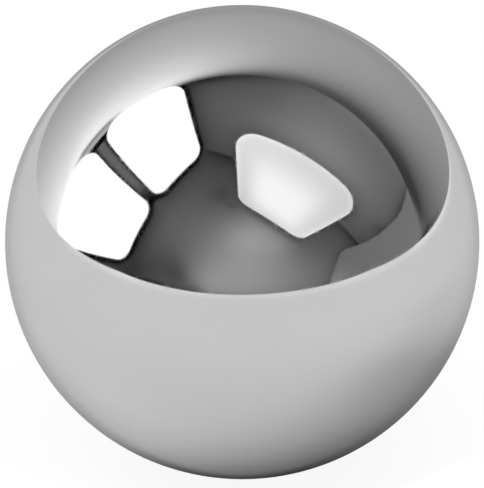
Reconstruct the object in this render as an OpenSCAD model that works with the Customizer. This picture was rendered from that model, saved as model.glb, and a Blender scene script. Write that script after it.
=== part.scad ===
// Precision steel ball: one solid piece of hardened bearing steel, ground and lapped
// all over to a mirror. It has no flat, no hole, no seam and no marking.
// The origin is the ball's centre, and +Z is up.

/* [Ball] */
// Nominal diameter of the ball, in mm (25.4 mm is the 1 inch size)
ball_d = 25.4; // [0.3:0.1:104.8]

/* [Drawing] */
// Segments round a great circle where the ball is drawn as a mesh
segments = 180; // [48:4:256]

/* [Hidden] */

ball_r = ball_d / 2;

// Polished bearing steel, a neutral light grey
polished_steel = [0.77, 0.77, 0.77];

// The section that is turned about the Z axis: half of a great circle's disc
module half_disc() {
    intersection() {
        circle(r = ball_r, $fn = segments);
        translate([0, -ball_r]) square([ball_r, ball_d]);
    }
}

// The ball, as the body of revolution of its own section
module ball() {
    color(polished_steel)
        rotate_extrude($fn = segments) half_disc();
}

ball();
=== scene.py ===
import bpy
import bmesh
import numpy as np
from math import asin, cos, pi, radians, sin, sqrt, tan
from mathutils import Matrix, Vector


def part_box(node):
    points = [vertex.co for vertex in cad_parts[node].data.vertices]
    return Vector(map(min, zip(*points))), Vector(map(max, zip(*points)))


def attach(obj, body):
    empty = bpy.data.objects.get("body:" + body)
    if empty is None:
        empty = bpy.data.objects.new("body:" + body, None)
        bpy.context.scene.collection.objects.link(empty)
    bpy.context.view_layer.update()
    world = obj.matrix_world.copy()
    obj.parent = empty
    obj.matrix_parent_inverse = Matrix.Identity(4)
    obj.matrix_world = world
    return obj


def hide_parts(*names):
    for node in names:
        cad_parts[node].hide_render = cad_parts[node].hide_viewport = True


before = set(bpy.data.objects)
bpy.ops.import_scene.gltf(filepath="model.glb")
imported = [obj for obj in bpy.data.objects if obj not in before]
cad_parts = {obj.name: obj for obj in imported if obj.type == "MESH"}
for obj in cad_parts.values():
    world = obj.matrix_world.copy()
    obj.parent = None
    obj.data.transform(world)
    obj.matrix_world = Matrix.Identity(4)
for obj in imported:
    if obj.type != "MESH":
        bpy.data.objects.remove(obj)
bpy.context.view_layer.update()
print("frame: loaded")

# The ball's own measures. The frame's origin is at its middle.
ballLow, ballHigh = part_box("ball")
ballRadius = (ballHigh[2] - ballLow[2]) / 2
ballCentre = Vector((0, 0, (ballHigh[2] + ballLow[2]) / 2))
floorHeight = ballLow[2]

view = {
    "distance": 7.0 * ballRadius,  # from the lens to the middle of the ball
    "elevation": 23.75,  # degrees above the floor
    "imageWide": 484,  # pixels
    "imageHigh": 488,
    "ballWide": 474.4,  # pixels across the ball's outline
    "ballRight": 0.2,  # pixels from the middle of the picture to the middle of the ball
    "ballUp": 1.95,
    "sensor": 36.0,  # mm, along the longer side of the picture
    "nearest": 0.01,  # metres from the lens at which things start to show
}


def makeCamera(look):
    tilt = radians(look["elevation"])
    towardsLens = Vector((0, -cos(tilt), sin(tilt)))
    longSide = max(look["imageWide"], look["imageHigh"])
    outlineSlope = tan(asin(ballRadius / look["distance"]))  # half the ball's outline, per unit of depth
    pictureSlope = outlineSlope * longSide / look["ballWide"]
    camera = bpy.data.cameras.new("mainCamera")
    camera.sensor_width = look["sensor"]
    camera.lens = look["sensor"] / 2 / pictureSlope
    camera.shift_x = -look["ballRight"] / longSide
    camera.shift_y = -look["ballUp"] / longSide
    camera.clip_start = look["nearest"]
    stand = bpy.data.objects.new("mainCamera", camera)
    bpy.context.scene.collection.objects.link(stand)
    stand.location = ballCentre + towardsLens * look["distance"]
    stand.rotation_mode = "QUATERNION"
    stand.rotation_quaternion = (-towardsLens).to_track_quat("-Z", "Y")
    bpy.context.scene.camera = stand


makeCamera(view)
bpy.context.scene.view_settings.view_transform = "Standard"
bpy.context.scene.cycles.caustics_reflective = False
print("camera: placed")


# Short ways to put a node in a tree. A value that goes into one is a number or another node's output.


def newMaterial(name):
    material = bpy.data.materials.new(name)
    material.use_nodes = True
    material.node_tree.nodes.clear()
    return material


def addNode(tree, kind, at, **settings):
    node = tree.nodes.new(kind)
    node.location = at
    for key, value in settings.items():
        setattr(node, key, value)
    return node


def feed(tree, value, socket):
    if isinstance(value, bpy.types.NodeSocket):
        tree.links.new(value, socket)
    else:
        socket.default_value = value


def addMath(tree, at, operation, *values, clamp=False):
    node = addNode(tree, "ShaderNodeMath", at, operation=operation, use_clamp=clamp)
    for value, socket in zip(values, node.inputs):
        feed(tree, value, socket)
    return node.outputs[0]


def addRange(tree, at, value, fromRange=(0, 1), toRange=(0, 1), smooth=False):
    node = addNode(tree, "ShaderNodeMapRange", at)
    if smooth:
        node.interpolation_type = "SMOOTHSTEP"
    feed(tree, value, node.inputs["Value"])
    for name, limit in zip(("From Min", "From Max", "To Min", "To Max"), (*fromRange, *toRange)):
        feed(tree, limit, node.inputs[name])
    return node.outputs["Result"]


def addNoise(tree, at, place, size, detail):
    node = addNode(tree, "ShaderNodeTexNoise", at)
    node.inputs["Scale"].default_value = 1 / size
    node.inputs["Detail"].default_value = detail
    tree.links.new(place, node.inputs["Vector"])
    return node.outputs["Fac"]


def addTone(tree, at, name):
    return addNode(tree, "ShaderNodeAttribute", at, attribute_name=name).outputs["Fac"]


def endWithMix(tree, at, share, first, second):
    mix = addNode(tree, "ShaderNodeMixShader", at)
    output = addNode(tree, "ShaderNodeOutputMaterial", (at[0] + 200, at[1]))
    for value, socket in zip((share, first, second), mix.inputs):
        tree.links.new(value, socket)
    tree.links.new(mix.outputs["Shader"], output.inputs["Surface"])


ballForm = {
    "faceCuts": 95,  # cuts across each of the six faces of the starting cube
}


def makeBall(form):
    shape = bmesh.new()
    bmesh.ops.create_cube(shape, size=2)
    bmesh.ops.subdivide_edges(shape, edges=shape.edges[:], cuts=form["faceCuts"], use_grid_fill=True)
    for vertex in shape.verts:
        evenAngles = Vector([tan(side * pi / 4) for side in vertex.co])  # equal steps round the ball
        vertex.co = evenAngles.normalized() * ballRadius + ballCentre
    for face in shape.faces:
        face.smooth = True
    bmesh.ops.recalc_face_normals(shape, faces=shape.faces[:])
    mesh = bpy.data.meshes.new("polishedBall")
    shape.to_mesh(mesh)
    shape.free()
    made = bpy.data.objects.new("polishedBall", mesh)
    bpy.context.scene.collection.objects.link(made)
    return made


ball = makeBall(ballForm)
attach(ball, "root")
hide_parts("ball")
print("ball: made,", len(ball.data.polygons), "faces")

steelFinish = {
    "reflectance": 0.56,  # share of the light that polished bearing steel sends back
    "patchy": 0.006,  # how much that share varies over the ball
    "patchyRange": (0.3, 0.7),  # values of the haze between which it varies
    "edgeTint": 0.78,  # steel's own curve towards the rim: 1 turns white sooner
    "roughness": (0.036, 0.052),  # clean and hazy parts
    "hazeRange": (0.35, 0.75),  # values of the haze at which parts are clean and hazy
    "hazeSize": 0.0035,  # metres
    "hazeDetail": 4,
    "marks": (  # fine lapping marks: their turn in degrees, metres between them, how far they are drawn out
        ((20, 35, 0), 0.0011, 14), ((75, -10, 50), 0.0016, 18), ((-40, 60, 15), 0.0013, 11)),
    "markWidth": 0.012,  # share of the spacing
    "markRoughness": 0.03,
    "markDepth": 2e-8,  # metres
    "waveSize": 0.0009,
    "waveHeight": 1.5e-8,
}


def addMarks(tree, place, turn, spacing, stretch, width, at):
    lay = addNode(tree, "ShaderNodeMapping", at)
    lay.inputs["Rotation"].default_value = [radians(a) for a in turn]
    lay.inputs["Scale"].default_value = (1, 1, 1 / stretch)
    tree.links.new(place, lay.inputs["Vector"])
    field = addNoise(tree, (at[0] + 200, at[1]), lay.outputs["Vector"], spacing, 1)
    offMiddle = addMath(tree, (at[0] + 400, at[1]), "SUBTRACT", field, 0.5)
    away = addMath(tree, (at[0] + 550, at[1]), "ABSOLUTE", offMiddle)
    return addRange(tree, (at[0] + 700, at[1]), away, (0, width), (1, 0), smooth=True)


def makeSteel(finish):
    material = newMaterial("polishedSteel")
    tree = material.node_tree
    shader = addNode(tree, "ShaderNodeBsdfPrincipled", (300, 0))
    output = addNode(tree, "ShaderNodeOutputMaterial", (600, 0))
    tree.links.new(shader.outputs["BSDF"], output.inputs["Surface"])
    shader.inputs["Metallic"].default_value = 1.0
    shader.inputs["Specular Tint"].default_value = (finish["edgeTint"],) * 3 + (1,)
    place = addNode(tree, "ShaderNodeTexCoord", (-1500, 0)).outputs["Object"]

    haze = addNoise(tree, (-900, 300), place, finish["hazeSize"], finish["hazeDetail"])
    brightest = finish["reflectance"] + finish["patchy"]
    darkest = finish["reflectance"] - finish["patchy"]
    tone = addRange(tree, (-300, 400), haze, finish["patchyRange"], (brightest, darkest))
    tree.links.new(tone, shader.inputs["Base Color"])

    marks = None
    for k, (turn, spacing, stretch) in enumerate(finish["marks"]):
        low = -200 - 300 * k
        line = addMarks(tree, place, turn, spacing, stretch, finish["markWidth"], (-1300, low))
        marks = line if marks is None else addMath(tree, (-400, low), "MAXIMUM", marks, line)

    blur = addRange(tree, (-300, 150), haze, finish["hazeRange"], finish["roughness"])
    worn = addMath(tree, (0, 50), "MULTIPLY_ADD", marks, finish["markRoughness"], blur)
    tree.links.new(worn, shader.inputs["Roughness"])

    wave = addNoise(tree, (-900, 0), place, finish["waveSize"], 1)
    swell = addNode(tree, "ShaderNodeBump", (-150, -150))
    swell.inputs["Distance"].default_value = finish["waveHeight"]
    tree.links.new(wave, swell.inputs["Height"])
    grooves = addNode(tree, "ShaderNodeBump", (50, -200), invert=True)
    grooves.inputs["Distance"].default_value = finish["markDepth"]
    tree.links.new(marks, grooves.inputs["Height"])
    tree.links.new(swell.outputs["Normal"], grooves.inputs["Normal"])
    tree.links.new(grooves.outputs["Normal"], shader.inputs["Normal"])
    return material


ball.data.materials.append(makeSteel(steelFinish))
print("steel: finished")


# The studio that the ball mirrors: sheets that glow, with the light and shade of a lit studio painted on them.
# Its greys are written as the steel shows them, from 0 to 255.
# Places on the tent are two angles seen from the ball: "along", from -X (-90) to +X (90), and
# "around", from the back (0) over the top (90) to the front (180).
# A patch there is painted light or shade: how much lighter or darker it is, then its middle and its reach, in
# degrees.

studioReach = 2.0  # metres from the ball to the tent
tentStep = 0.5  # degrees between the tent's mesh lines
tentFoot = 2  # degrees that the tent goes on below the ball's own level
tentEnd = 89.9  # degrees along at which it ends, just short of where the mesh lines meet
sideAlong = 75  # degrees along at which the greys of the right-hand side are given


def lampStrength(grey):
    share = np.clip(grey, 0, 255) / 255
    linear = np.where(share <= 0.04045, share / 12.92, ((share + 0.055) / 1.055) ** 2.4)  # the sRGB curve
    return linear / steelFinish["reflectance"]


def compass(azimuth, elevation):
    a, e = radians(azimuth), radians(elevation)
    return Vector((sin(a) * cos(e), cos(a) * cos(e), sin(e)))


def softStep(value, start, end):
    t = np.clip((value - start) / (end - start), 0, 1)
    return t * t * (3 - 2 * t)


def fadeOff(amount, reach, away):
    return amount * np.exp(-np.maximum(away, 0) / reach)


def pool(across, up, middle, reach):
    x = (across - middle[0]) / reach[0]
    y = (up - middle[1]) / reach[1]
    return np.exp(-(x * x + y * y) / 2)


def patchLight(patches, across, up):
    return sum(more * pool(across, up, middle, reach) for more, middle, reach in patches)


def makeGlow():
    material = newMaterial("studioGlow")
    tree = material.node_tree
    glow = addNode(tree, "ShaderNodeEmission", (0, 0))
    clear = addNode(tree, "ShaderNodeBsdfTransparent", (0, 120))
    tree.links.new(addTone(tree, (-200, 100), "tone"), glow.inputs["Strength"])
    cover = addTone(tree, (-200, 300), "cover")
    endWithMix(tree, (200, 100), cover, clear.outputs["BSDF"], glow.outputs["Emission"])
    return material


studioGlow = makeGlow()


def paintPoints(mesh, name, values):
    layer = mesh.attributes.new(name, "FLOAT", "POINT")
    layer.data.foreach_set("value", np.array(values, dtype=float))


def hangSheet(name, points, faces, strengths, covers, shows=True, lights=False):
    mesh = bpy.data.meshes.new(name)
    mesh.from_pydata(points, [], faces)
    paintPoints(mesh, "tone", strengths)
    paintPoints(mesh, "cover", covers)
    mesh.materials.append(studioGlow)
    sheet = bpy.data.objects.new(name, mesh)
    bpy.context.scene.collection.objects.link(sheet)
    sheet.visible_camera = False  # other views look in through the tent
    sheet.visible_glossy = shows
    sheet.visible_diffuse = lights


def gridFaces(rows, columns):
    faces = []
    for r in range(rows - 1):
        for c in range(columns - 1):
            first = r * columns + c
            faces.append((first, first + 1, first + columns + 1, first + columns))
    return faces


sweep = {
    "edge": 72,  # degrees around at which the pale sweep ends and the dark room starts
    "middle": 157,
    "swing": 74,  # from the middle grey to the brightest and darkest parts
    "turn": (-20, 14),  # where along the sweep it is middle grey: near the edge, and how that drifts below it
    "driftEnd": 0.3,  # degrees below the edge at which that drift ends
    "softness": (20.5, 13.5),  # how far the change from light to dark reaches: near the edge, and its growth
    "windowGlow": (117, 24),  # more light towards the window, and its reach
    "sideFall": (52, 21),  # less light at the right-hand side, and its reach
    "patches": (
        (-11, (-4, 5), (22, 6)), (-26, (-86, 5), (4.5, 6)), (3, (-12, 28), (34, 9)), (-5, (68, 36), (10, 12)),
        (-11, (-71, 44), (8, 7)), (13, (-28, 67), (9, 3)), (-40, (-22, 71), (6.5, 0.9)),
        (-8, (32, 68.5), (16, 2.2)), (-32, (82.3, 7), (2.4, 4.2)), (-14, (76.5, 3), (4, 2))),
    "darkest": 57,
    "brightest": 252,
}
sideWall = {
    "besideSweep": ((0, 85), (30, 83.8), (50, 82.3), (62, 79.8), (69, 76.8), (72, 72)),  # around and along
    "besideRoom": (
        (72, 71.8), (78, 73), (88, 74.6), (105, 75.6), (120, 74.8), (132, 72.5), (141, 69.8), (149, 65.9),
        (155, 60.5), (158.5, 54.5), (160.5, 48.5), (163, 45.6), (180, 39.5)),
    "grey": 111,
    "slope": 0.26,  # per degree along
    "patches": ((17, (43, 178), (6, 5)),),
    "foot": (100, 8.6),  # darker towards its foot at the back, and the reach of that
    "line": (20, 1.5),  # dark line in front of the wall's edge, and its reach
    "sweepBlur": 4.5,  # degrees, where the sweep meets the wall
    "roomBlur": 0.4,
}
ceiling = {
    "grey": 103,
    "patches": (
        (43, (31, 120), (21, 24)), (-12, (67, 145), (4, 5)), (9, (52, 72), (12, 3)),
        (-26, (-18, 73.2), (14, 1.6)), (-5, (10, 86), (7, 5))),
    "sweepShade": (40, 8),  # darker beside the sweep, and the reach of that
    "sweepShadeEnd": (0, 40),  # degrees along over which that ends
    "creaseShade": (40, 20),  # darker towards the crease with the front wall
    "sideShade": (20, 3),  # darker towards the side wall
}
frontWall = {
    "grey": 97,
    "patches": (
        (37, (5.5, 152.5), (10, 7)), (57, (-4, 171.5), (29, 15.5)), (-50, (-40, 172.5), (15, 13)),
        (-30, (-56, 174), (4.5, 6)), (-18, (-28, 174), (3, 5)), (-9, (-32, 170), (3, 5)),
        (-22, (-22, 179.5), (3, 2.5)), (8, (-15, 175), (5, 5)), (-38, (-45, 179.3), (11, 1)),
        (-17, (-2.5, 138.8), (3, 1.6)), (-12, (-9, 134.5), (4, 3)), (-13, (-51, 170), (4, 9)),
        (-4, (-24, 160), (13, 6)), (-7, (30, 158), (5, 7)), (8, (16, 158), (3.5, 3)),
        (9, (46, 152), (4, 4))),
    "creaseShade": (43, 21),
    "foot": (18, 0.7),
}
crease = {  # where ceiling and front wall meet
    "facing": (-153.4, -26.2),  # compass direction and height of its plane's normal
    "line": (22, 2.2),  # darker on the front wall just past it, and the reach of that
    "blur": 0.4,
}


def wallEdge(side, around):
    rounds, alongs = zip(*sideWall[side])
    return np.interp(around, rounds, alongs)


def wallGrey(along, around):
    grey = sideWall["grey"] + sideWall["slope"] * (along - sideAlong)
    grey += patchLight(sideWall["patches"], along, around)
    return grey - fadeOff(*sideWall["foot"], around)


def sweepGrey(along, around):
    below = np.maximum(sweep["edge"] - around, sweep["driftEnd"])
    turn = sweep["turn"][0] + sweep["turn"][1] * np.log(below)
    softness = sweep["softness"][0] * np.exp(below / sweep["softness"][1])
    grey = sweep["middle"] - sweep["swing"] * np.tanh((along - turn) / softness)
    grey += fadeOff(*sweep["windowGlow"], along + 90)
    fall, fallReach = sweep["sideFall"]
    grey -= fall * np.exp((along - sideAlong) / fallReach)
    grey = np.maximum(grey, sweep["darkest"]) + patchLight(sweep["patches"], along, around)
    grey = np.minimum(grey, sweep["brightest"])
    blur = sideWall["sweepBlur"]
    onWall = softStep(along - wallEdge("besideSweep", around), -blur, blur)
    return grey + (wallGrey(along, around) - grey) * onWall


def roomGrey(along, around):
    a, r = np.radians(along), np.radians(around)
    facing = compass(*crease["facing"])
    height = facing.x * np.sin(a) + facing.y * np.cos(a) * np.cos(r) + facing.z * np.cos(a) * np.sin(r)
    pastCrease = np.degrees(np.arcsin(np.clip(height, -1, 1)))

    over = ceiling["grey"] + patchLight(ceiling["patches"], along, around)
    besideSweep = 1 - softStep(along, *ceiling["sweepShadeEnd"])
    over -= fadeOff(*ceiling["sweepShade"], around - sweep["edge"]) * besideSweep
    over -= fadeOff(*ceiling["creaseShade"], -pastCrease)
    over -= fadeOff(*ceiling["sideShade"], sideAlong - along)

    front = frontWall["grey"] + patchLight(frontWall["patches"], along, around)
    front -= fadeOff(*frontWall["creaseShade"], pastCrease)
    front -= fadeOff(*crease["line"], pastCrease)
    front -= fadeOff(*frontWall["foot"], 180 - around)

    grey = over + (front - over) * softStep(pastCrease, -crease["blur"], crease["blur"])
    toWall = along - wallEdge("besideRoom", around)
    grey -= fadeOff(*sideWall["line"], -toWall)
    blur = sideWall["roomBlur"]
    return grey + (wallGrey(along, around) - grey) * softStep(toWall, -blur, blur)


def hangTent(name, startAround, endAround, greyAt):
    rows = int(round((endAround - startAround) / tentStep)) + 1
    columns = int(round(180 / tentStep))
    around, along = np.meshgrid(
        np.linspace(startAround, endAround, rows), np.linspace(-tentEnd, tentEnd, columns), indexing="ij")
    a, r = np.radians(along), np.radians(around)
    points = np.stack([np.sin(a), np.cos(a) * np.cos(r), np.cos(a) * np.sin(r)], axis=-1) * studioReach
    strengths = lampStrength(greyAt(along, around))
    hangSheet(name, points.reshape(-1, 3).tolist(), gridFaces(rows, columns),
              strengths.ravel(), np.ones(rows * columns))


hangTent("paleSweep", -tentFoot, sweep["edge"], sweepGrey)
hangTent("darkRoom", sweep["edge"], 180 + tentFoot, roomGrey)
print("tent: hung")


# Panels in front of the tent. A panel's own places are x along its width and y up, in metres.
# Its "aim" is the compass direction and height of its middle seen from the ball, in degrees.


def placeOn(panel, x, y, lift):
    normal = compass(*panel["facing"])
    level = Vector((0, 0, 1)).cross(normal).normalized()
    upright = normal.cross(level)
    roll = radians(panel["roll"])
    across = level * cos(roll) + upright * sin(roll)
    up = upright * cos(roll) - level * sin(roll)
    middle = ballCentre + compass(*panel["aim"]) * panel["distance"]
    return middle + across * x + up * y + normal * lift


def roundedOutline(width, height, radii, grow, cornerSteps=10, sideSteps=8):
    corners = []
    for toRight, toTop in ((1, 1), (-1, 1), (-1, -1), (1, -1)):
        radius = radii[1] if toRight > 0 else radii[0]
        corners.append((toRight * (width / 2 - radius), toTop * (height / 2 - radius), radius + grow))
    outline = []
    for corner, (cx, cy, radius) in enumerate(corners):
        for k in range(cornerSteps + 1):
            turn = (corner + k / cornerSteps) * pi / 2
            outline.append((cx + radius * cos(turn), cy + radius * sin(turn)))
        lastX, lastY = outline[-1]
        nextX, nextY, nextRadius = corners[(corner + 1) % 4]
        nextX += nextRadius * cos(turn)
        nextY += nextRadius * sin(turn)
        for k in range(1, sideSteps):
            outline.append((lastX + (nextX - lastX) * k / sideSteps, lastY + (nextY - lastY) * k / sideSteps))
    return outline


def nestedFaces(rings, count):
    faces = []
    for r in range(rings - 1):
        for k in range(count):
            n = (k + 1) % count
            faces.append((r * count + k, r * count + n, (r + 1) * count + n, (r + 1) * count + k))
    return faces


def hangRings(name, panel, outlines, strengths, covers, lift=0.0, **seenBy):
    points = [placeOn(panel, x, y, lift) for outline in outlines for x, y in outline]
    faces = nestedFaces(len(outlines), len(outlines[0]))
    hangSheet(name, points, faces, strengths, covers, **seenBy)


windowFrame = {
    "aim": (-105.0, 36.1),
    "distance": 1.0,
    "facing": (97.7, -31.8),
    "roll": -14.2,
    "width": 0.948,
    "paneHeights": (0.6265, 0.6095),  # above and below the bar
    "bar": 0.095,
    "corners": (0.129, 0.136),  # radii at the left and at the right
    "paneSizes": (1.0, 0.5, 0.0),  # rings of a pane, as shares of its size
    "glare": 1.9,  # as the steel shows the panes: just past white
    "light": 4.3,  # as they light the floor
    "railAndShade": (  # a dark frame, then painted shade that fades out beyond it: width, grey and cover, outwards
        (-0.02, 4, 1.0), (0.04, 4, 1.0), (0.055, 34, 1.0), (0.08, 50, 0.95),
        (0.12, 57, 0.8), (0.18, 62, 0.5), (0.26, 70, 0.2), (0.36, 75, 0.0)),
    "railHeights": (0.1, -0.5),  # slimmer higher up: the heights where it is slimmest and where it is full
    "railSlim": (0.95, 0.6),  # its width and its shade where it is slimmest
    "railFront": 1.3,  # how much wider it is at the front edge
    "railEnd": 0.435,  # the rail stops short of the back edge, which is lost in the glare
    "railLift": -0.004,
    "barSpan": (-0.46, 0.385),
    "barGrey": (8, 97),  # at the front and at the back
    "barFade": (0.05, 0.38),  # shares of its length between which the one turns into the other
    "barRows": (  # across it, and the share of its grey at the front and at the back
        (-1, 0.0, 0.1), (-0.75, 0.35, 0.5), (-0.45, 0.9, 0.95), (0, 1.1, 1.03),
        (0.45, 0.9, 0.95), (0.75, 0.35, 0.5), (1, 0.0, 0.1)),
    "barLift": -0.002,
    "backEnd": (  # behind the bar's back end: x, grey and cover
        (0.37, 4, 1), (0.432, 4, 1), (0.435, 168, 1), (0.465, 168, 1), (0.472, 142, 1), (0.494, 142, 1),
        (0.51, 190, 0.2), (0.55, 200, 0)),
    "backEndHigh": (0.225, 0.12),  # half its height, and how much of that fades
    "backEndLift": -0.003,
}


def makeWindow(window):
    front = -window["width"] / 2
    slimWidth, slimShade = window["railSlim"]
    for paneHeight, side in zip(window["paneHeights"], (1, -1)):
        rise = side * (window["bar"] + paneHeight) / 2
        railAndShade, greys, covers = [], [], []
        # Each ring is part of the dark frame, or of the painted shade that fades out beyond it.
        for grow, grey, cover in window["railAndShade"]:
            wide = roundedOutline(window["width"], paneHeight, window["corners"], grow)
            slim = roundedOutline(window["width"], paneHeight, window["corners"], grow * slimWidth)
            ring = []
            for (x, y), (slimX, slimY) in zip(wide, slim):
                share = float(softStep(y + rise, *window["railHeights"]))
                x = slimX + (x - slimX) * share
                y = slimY + (y - slimY) * share
                x = min(x, front + window["railFront"] * (x - front), window["railEnd"])
                y = side * max(side * y, -abs(rise))  # the two rails meet at the bar
                ring.append((x, y + rise))
                shade = 1 if cover == 1 else slimShade + (1 - slimShade) * share
                covers.append(cover * shade)
            railAndShade.append(ring)
            greys += [grey] * len(ring)
        hangRings("windowRailAndShade", window, railAndShade, lampStrength(np.array(greys)), covers, lift=window["railLift"])
        edge = roundedOutline(window["width"], paneHeight, window["corners"], 0)
        pane = [[(x * size, y * size + rise) for x, y in edge] for size in window["paneSizes"]]
        whole = np.ones(len(pane) * len(edge))
        hangRings("windowPane", window, pane, window["glare"] * whole, whole)
        hangRings("windowLamp", window, pane, window["light"] * whole, whole, shows=False, lights=True)


def makeBar(window):
    columns = 17
    start, end = window["barSpan"]
    front, back = window["barGrey"]
    points, greys = [], []
    for row, frontShare, backShare in window["barRows"]:
        for c in range(columns):
            t = c / (columns - 1)
            x, y = start + (end - start) * t, row * window["bar"] / 2
            points.append(placeOn(window, x, y, window["barLift"]))
            inward = softStep(t, *window["barFade"])
            greys.append((front + (back - front) * inward) * (frontShare + (backShare - frontShare) * inward))
    faces = gridFaces(len(window["barRows"]), columns)
    hangSheet("windowBar", points, faces, lampStrength(np.array(greys)), np.ones(len(points)))


def makeBackEnd(window):
    rows = 9
    half, fade = window["backEndHigh"]
    points, greys, covers = [], [], []
    for r in range(rows):
        y = -half + 2 * half * r / (rows - 1)
        for x, grey, cover in window["backEnd"]:
            points.append(placeOn(window, x, y, window["backEndLift"]))
            greys.append(grey)
            covers.append(cover * float(softStep(half - abs(y), 0.0, fade)))
    faces = gridFaces(rows, len(window["backEnd"]))
    hangSheet("barBackEnd", points, faces, lampStrength(np.array(greys)), covers)


makeWindow(windowFrame)
makeBar(windowFrame)
makeBackEnd(windowFrame)
print("window: lit")

overheadBox = {
    "aim": (156.2, 41.5),
    "distance": 1.0,
    "facing": (250.9, -54.5),
    "roll": 23.0,
    "width": 0.934,
    "height": 0.82,
    "corners": (0.16, 0.135),
    "greys": (211, 246),  # near the rim and in the hot middle
    "twist": -60,  # two of its corners are brighter
    "hotSpot": ((0.03, 0.01), (0.35, 0.27), (3.2, 4.7)),  # its middle, its reach and how firm its edge is
    "rim": (30, 0.018),  # brighter rim, and its reach
    "rimRings": (0.0, 0.01, 0.02, 0.04, 0.06),  # metres in from the edge
    "innerRings": (  # from there to the middle, as shares of the last of those
        0.92, 0.84, 0.76, 0.68, 0.6, 0.52, 0.44, 0.36, 0.28, 0.2, 0.12, 0.0),
    "innerDepth": 0.3,  # how much deeper the middle counts as, in metres
    "edgeStart": (-0.01, 58, 1.0),  # width, grey and cover of the dark edge's first ring, behind the panel
    "edge": ((0.002, 58, 1.0), (0.014, 60, 0.8), (0.05, 70, 0.3), (0.11, 80, 0.0)),  # the same, outwards: the dark edge, then painted shade that fades out beyond it
    # at the right-hand side, painted shade that is darker and reaches further out
    "rightEdgeAndShade": ((0.002, 53, 1.0), (0.03, 69, 0.95), (0.1, 78, 0.9), (0.3, 101, 0.0)),
    "rightSide": (0.42, 0.465),  # from and to where the one turns into the other
    "faintSides": ((-0.25, -0.45), (0.2, 0.4)),  # the edge is faint at the left and at the top: from and to
    "faintEdge": (30, 0.4),  # its grey there, and what is left of its cover
    "edgeLift": -0.003,
}


def overheadGrey(box, x, y, depth):
    (mx, my), (rx, ry), (firmX, firmY) = box["hotSpot"]
    hot = np.exp(-(abs(x - mx) / rx) ** firmX - (abs(y - my) / ry) ** firmY)
    grey = box["greys"][0] + (box["greys"][1] - box["greys"][0]) * hot
    return grey + box["twist"] * x * y + fadeOff(*box["rim"], depth)


def makeOverhead(box):
    size = (box["width"], box["height"], box["corners"])
    outlines, greys = [], []
    for depth in box["rimRings"]:
        outlines.append(roundedOutline(*size, -depth))
        greys += [overheadGrey(box, x, y, depth) for x, y in outlines[-1]]
    inner, innerDepth = outlines[-1], box["rimRings"][-1]
    for share in box["innerRings"]:
        depth = innerDepth + (1 - share) * box["innerDepth"]
        outlines.append([(x * share, y * share) for x, y in inner])
        greys += [overheadGrey(box, x, y, depth) for x, y in outlines[-1]]
    hangRings("overheadPane", box, outlines, lampStrength(np.array(greys)), np.ones(len(greys)), lights=True)


# The dark edge round the panel, with painted shade beyond it that fades out.
def makeOverheadEdgeAndShade(box):
    size = (box["width"], box["height"], box["corners"])
    leftSide, topSide = box["faintSides"]
    faintGrey, faintCover = box["faintEdge"]
    startGrow, startGrey, startCover = box["edgeStart"]
    edges = [roundedOutline(*size, startGrow)]
    greys, covers = [startGrey] * len(edges[0]), [startCover] * len(edges[0])
    for (grow, grey, cover), (rightGrow, rightGrey, rightCover) in zip(box["edge"], box["rightEdgeAndShade"]):
        outline = []
        for (x, y), (farX, farY) in zip(roundedOutline(*size, grow), roundedOutline(*size, rightGrow)):
            right = float(softStep(x, *box["rightSide"]))
            faint = max(float(softStep(x, *leftSide)), float(softStep(y, *topSide)) * (1 - right))
            outline.append((x + (farX - x) * right, y + (farY - y) * right))
            greys.append(grey + (rightGrey - grey) * right + (faintGrey - grey) * faint)
            covers.append((cover + (rightCover - cover) * right) * (1 + (faintCover - 1) * faint))
        edges.append(outline)
    hangRings("overheadEdgeAndShade", box, edges, lampStrength(np.array(greys)), covers, lift=box["edgeLift"])


makeOverhead(overheadBox)
makeOverheadEdgeAndShade(overheadBox)
print("overhead panel: lit")

paper = {
    "rings": 90,  # of its mesh, closer together near the ball
    "spokes": 180,
    "firstRing": 0.001,  # metres
    "white": 0.87,
    "clearReach": (0.015, 0.06),  # metres from the ball's middle between which it comes to shine evenly
    "seenWhite": (0.85, 1.0),  # how far the camera sees it lifted to white, at the two reaches below
    "seenReach": (0.004, 0.024),  # metres from the ball's middle; the paper itself starts at the ball's radius
    "backShade": (0.55, 1.6),  # the paper behind the ball: how much darker, and how firm the shade's edge
    "shadeSpread": (0.025, 0.036, 0.12),  # its spread near the ball and far off, and where it is far off
    "shadeFrom": (-0.0067, -0.005),  # where it starts under the ball, and where it is full
    "farGlows": (  # brighter far off: how much, over which metres, which way, and how it fades sideways
        (0.16, (0.2, 0.7), 150, (-0.3, 0.3)), (0.2, (0.38, 0.72), 58, (0.75, 0.95)),
        (0.16, (0.38, 0.72), -112, (0.9, 0.98))),
    "patches": (  # painted light and shade near the ball: how much, where and how wide
        (0.12, (-0.01, -0.008), 0.0055), (0.22, (0.0115, -0.0025), 0.005), (0.06, (0.026, 0.012), 0.008),
        (-0.17, (0.0165, -0.0105), 0.006), (-0.05, (0.037, -0.003), 0.011), (0.07, (-0.021, 0.003), 0.006),
        (0.08, (0.022, 0.0055), 0.0045), (-0.06, (0.02, -0.0045), 0.0045)),
    "liftReach": (0.4, 0.9),  # metres from the ball between which the paper rises to its far edge
    "farEdge": (  # compass direction and height, in degrees
        (-180, -0.4), (-160, -0.4), (-135, 0.2), (-122, 0.7), (-85, 0.0), (-60, 0.0), (-48, 0.4),
        (0, -0.6), (15, -1.6), (35, -1.4), (50, -0.5), (90, -0.3), (105, 0.0), (120, 0.5), (135, 0.1),
        (180, -0.4)),
}


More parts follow.
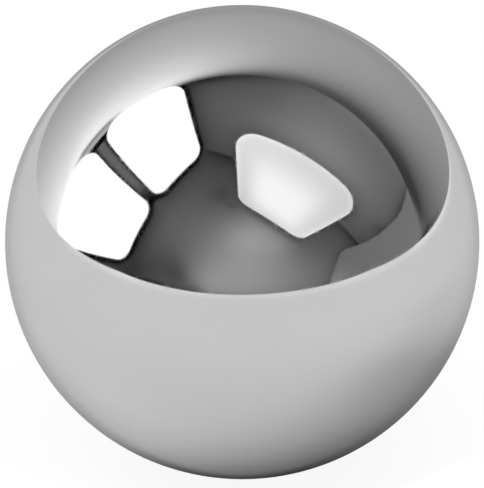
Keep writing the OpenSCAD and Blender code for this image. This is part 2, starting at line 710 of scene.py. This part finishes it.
def sightLine(look, azimuth, distance):
    # The far edge is given as the camera finds it in the ball,
    # so its height starts from the point of the ball that mirrors it.
    tilt = radians(view["elevation"])
    mirrorHeight = ballRadius * sin(tilt) / sqrt(2 - 2 * cos(tilt) * cos(radians(azimuth)))
    directions, heights = zip(*look["farEdge"])
    height = np.interp((azimuth + 180) % 360 - 180, directions, heights)
    return mirrorHeight + distance * tan(radians(height))


# The paper's painted light and shade: brighter far off, painted patches of light and shade near the ball, and
# the ball's painted shadow behind it.
def paperLightAndShade(look, x, y, azimuth, distance):
    tone = 1.0
    for glow, outwards, way, sides in look["farGlows"]:
        tone += glow * softStep(distance, *outwards) * softStep(cos(radians(azimuth - way)), *sides)
    for more, middle, reach in look["patches"]:
        tone += more * pool(x, y, middle, (reach, reach))
    shadeFrom, shadeFull = look["shadeFrom"]
    if y > shadeFrom:
        shade, firmness = look["backShade"]
        nearSpread, farSpread, farOff = look["shadeSpread"]
        spread = nearSpread + (farSpread - nearSpread) * softStep(y, 0, farOff)
        aside = x * x / ((y - shadeFrom) * spread)
        tone -= shade * softStep(y, shadeFrom, shadeFull) * np.exp(-aside ** firmness)
    return tone


def makeFloor(look):
    rings = [0.0] + list(np.geomspace(look["firstRing"], studioReach, look["rings"]))
    spokes = look["spokes"]
    points, paintedLightAndShade = [], []
    for distance in rings:
        for s in range(spokes):
            azimuth = s * 360 / spokes
            x, y = distance * sin(radians(azimuth)), distance * cos(radians(azimuth))
            rise = softStep(distance, *look["liftReach"])
            points.append((x, y, floorHeight + (sightLine(look, azimuth, distance) - floorHeight) * rise))
            paintedLightAndShade.append(paperLightAndShade(look, x, y, azimuth, distance))
    # The middle ring is a single point, so triangles take the place of its faces.
    faces = nestedFaces(len(rings), spokes)[spokes:]
    faces += [(0, spokes + k, spokes + (k + 1) % spokes) for k in range(spokes)]
    mesh = bpy.data.meshes.new("paperFloor")
    mesh.from_pydata(points, [], faces)
    mesh.polygons.foreach_set("use_smooth", [True] * len(mesh.polygons))
    paintPoints(mesh, "tone", paintedLightAndShade)
    mesh.materials.append(makePaper(look))
    floor = bpy.data.objects.new("paperFloor", mesh)
    bpy.context.scene.collection.objects.link(floor)


def seenDirectly(tree, at):
    path = addNode(tree, "ShaderNodeLightPath", at)
    toCamera, toGlossy = path.outputs["Is Camera Ray"], path.outputs["Is Glossy Ray"]
    mirrored = addMath(tree, (at[0] + 200, at[1]), "ADD", toCamera, toGlossy)
    through = path.outputs["Is Transmission Ray"]
    return toCamera, addMath(tree, (at[0] + 400, at[1]), "ADD", mirrored, through, clamp=True)


def makePaper(look):
    material = newMaterial("whitePaper")
    tree = material.node_tree
    toCamera, direct = seenDirectly(tree, (-900, 500))
    place = addNode(tree, "ShaderNodeTexCoord", (-900, 0))
    spread = addNode(tree, "ShaderNodeVectorMath", (-700, 0), operation="LENGTH")
    tree.links.new(place.outputs["Object"], spread.inputs[0])
    away = spread.outputs["Value"]
    clear = addRange(tree, (-500, 0), away, look["clearReach"], smooth=True)
    seen = addRange(tree, (-500, 450), away, look["seenReach"], look["seenWhite"], smooth=True)
    lift = addMath(tree, (-300, 350), "MULTIPLY", toCamera, seen)
    share = addMath(tree, (-300, 150), "MAXIMUM", lift, clear)
    mask = addMath(tree, (-100, 300), "MULTIPLY", share, direct)
    # The tone attribute holds the paper's painted light and shade; it sets both its glow and its colour.
    tone = addTone(tree, (-500, -250), "tone")
    glow = addNode(tree, "ShaderNodeEmission", (-100, -200))
    tree.links.new(addMath(tree, (-300, -200), "MAXIMUM", tone, toCamera), glow.inputs["Strength"])
    matt = addNode(tree, "ShaderNodeBsdfDiffuse", (-100, 0))
    tree.links.new(addMath(tree, (-300, 0), "MULTIPLY", tone, look["white"]), matt.inputs["Color"])
    endWithMix(tree, (150, 100), mask, matt.outputs["BSDF"], glow.outputs["Emission"])
    return material


makeFloor(paper)

roomLight = {
    "seen": 1.0,  # white behind everything
    "fill": 0.66,  # soft light that reaches the floor from above
    "fillFrom": 0.7,  # sine of the height from which it is full
    "fillLean": (-0.5, 0.3, 0.0),  # the side from which more of it comes
}


def makeWorld(light):
    world = bpy.data.worlds.new("whiteRoom")
    world.use_nodes = True
    tree = world.node_tree
    direct = seenDirectly(tree, (-600, 200))[1]
    place = addNode(tree, "ShaderNodeTexCoord", (-700, -100)).outputs["Generated"]
    parts = addNode(tree, "ShaderNodeSeparateXYZ", (-500, -100))
    tree.links.new(place, parts.inputs[0])
    height = parts.outputs["Z"]
    above = addRange(tree, (-300, -100), height, (0, light["fillFrom"]), (0, light["fill"]), smooth=True)
    side = addNode(tree, "ShaderNodeVectorMath", (-500, -300), operation="DOT_PRODUCT")
    side.inputs[1].default_value = light["fillLean"]
    tree.links.new(place, side.inputs[0])
    lean = addMath(tree, (-300, -300), "ADD", side.outputs["Value"], 1.0)
    filled = addMath(tree, (-200, -200), "MULTIPLY", above, lean)
    strength = addRange(tree, (-100, 100), direct, toRange=(filled, light["seen"]))
    background = tree.nodes["Background"]
    background.inputs["Color"].default_value = (1, 1, 1, 1)
    tree.links.new(strength, background.inputs["Strength"])
    bpy.context.scene.world = world


makeWorld(roomLight)
print("floor and world: set")
